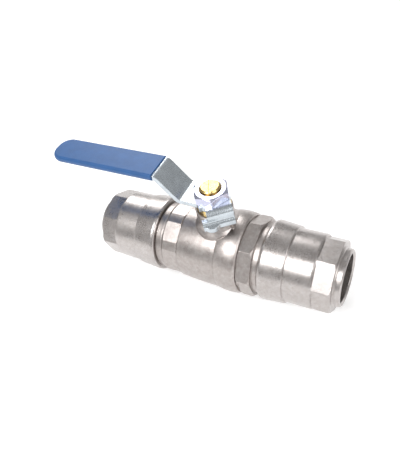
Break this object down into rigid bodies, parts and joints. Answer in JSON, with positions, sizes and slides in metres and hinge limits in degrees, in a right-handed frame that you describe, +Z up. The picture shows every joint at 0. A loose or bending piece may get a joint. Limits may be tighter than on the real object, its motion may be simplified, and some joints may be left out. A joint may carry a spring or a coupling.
{
  "type": "push-to-connect ball valve",
  "caption": "Quarter-turn lever ball valve with a push-fit pipe socket at each end, for shutting off a straight run of pipe.",
  "frame": {"origin": "on the pipe axis at the near pipe stop, the face that the pipe pushed in from +X comes to rest on", "axes": "+X out of the near socket along the pipe, +Z up the stem"},
  "size_m": [0.1855, 0.0512, 0.0859],
  "materials": {
    "nickel_forged": "nickel plated over a fine blasted forging",
    "nickel_nut": "nickel plated, a little brighter than the body",
    "zinc_plated_steel": "satin zinc plate on pressed sheet",
    "zinc_plated_nut": "bright zinc plate with a faint lavender passivation",
    "bare_brass": "turned, unplated",
    "chromed_ball": "polished",
    "spring_steel": "plain spring steel",
    "blue_vinyl": "soft vinyl sleeve with a low sheen",
    "ptfe": "matt",
    "acetal": "matt",
    "seal_rubber": "matt"
  },
  "bodies": {
    "housing": {"valve_body": "nickel_forged", "end_connector": "nickel_forged", "end_nut_near": "nickel_nut", "end_nut_far": "nickel_nut", "body_seal": "seal_rubber", "seat_near": "ptfe", "seat_far": "ptfe", "stem_thrust_washer": "ptfe", "stem_packing": "ptfe", "support_washer_near": "acetal", "pipe_oring_near": "seal_rubber", "backup_ring_near": "acetal", "support_washer_far": "acetal", "pipe_oring_far": "seal_rubber", "backup_ring_far": "acetal", "gland_nut": "bare_brass"},
    "rotor": {"lever": "zinc_plated_steel", "lever_grip": "blue_vinyl", "lever_nut": "zinc_plated_nut", "stem": "bare_brass", "stem_oring": "seal_rubber", "ball": "chromed_ball"},
    "grip_near": {"grip_ring_near": "spring_steel"},
    "grip_far": {"grip_ring_far": "spring_steel"}
  },
  "joints": [
    {"name": "lever_turn", "type": "hinge", "parent": "housing", "child": "rotor", "pos_m": [-0.03601, 0, 0], "axis": [0, 0, 1], "range_deg": [-90, 0]},
    {"name": "grip_near_float", "type": "slide", "parent": "housing", "child": "grip_near", "axis": [-1, 0, 0], "range_m": [0, 0.0007]},
    {"name": "grip_far_float", "type": "slide", "parent": "housing", "child": "grip_far", "axis": [1, 0, 0], "range_m": [0, 0.0007]}
  ]
}
